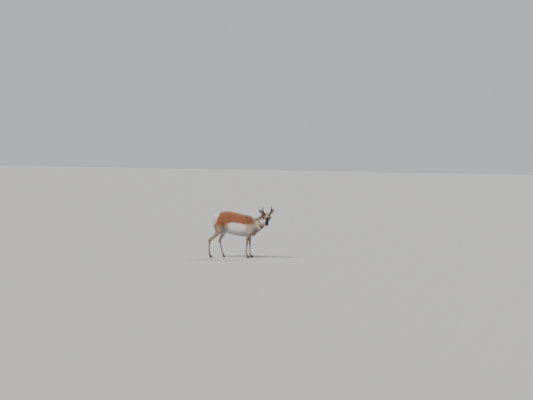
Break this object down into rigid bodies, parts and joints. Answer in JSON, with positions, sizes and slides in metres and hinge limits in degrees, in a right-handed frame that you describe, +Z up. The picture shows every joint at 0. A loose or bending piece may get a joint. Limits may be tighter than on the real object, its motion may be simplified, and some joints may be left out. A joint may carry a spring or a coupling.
{
  "type": "pronghorn",
  "caption": "Life-size pronghorn buck standing in profile with its head turned square to its right, prongs, ears and striped throat.",
  "frame": {"origin": "on the floor, under the middle of the whole model's box", "axes": "+X from rump to chest, +Y to the animal's left, +Z up; the head faces -Y"},
  "size_m": [1.3172, 0.5296, 1.0588],
  "materials": {
    "coat": "short dense fur, rufous tan above and white below",
    "pale_coat": "short white and pale tan fur",
    "horn": "black horn, satin, with fine lengthwise grain",
    "eye": "wet dark brown eye"
  },
  "bodies": {
    "root": {"shoulder_right": "coat", "haunch_right": "coat", "shoulder_left": "coat", "haunch_left": "coat", "torso": "coat", "neck": "coat", "head": "coat", "tail": "pale_coat", "horn_right": "horn", "ear_right": "coat", "eye_right": "eye", "fore_leg_right": "coat", "hind_leg_right": "coat", "hoof_fore_right_outer": "horn", "hoof_fore_right_inner": "horn", "hoof_hind_right_outer": "horn", "hoof_hind_right_inner": "horn", "horn_left": "horn", "ear_left": "coat", "eye_left": "eye", "fore_leg_left": "coat", "hind_leg_left": "coat", "hoof_fore_left_outer": "horn", "hoof_fore_left_inner": "horn", "hoof_hind_left_outer": "horn", "hoof_hind_left_inner": "horn"}
  },
  "joints": []
}
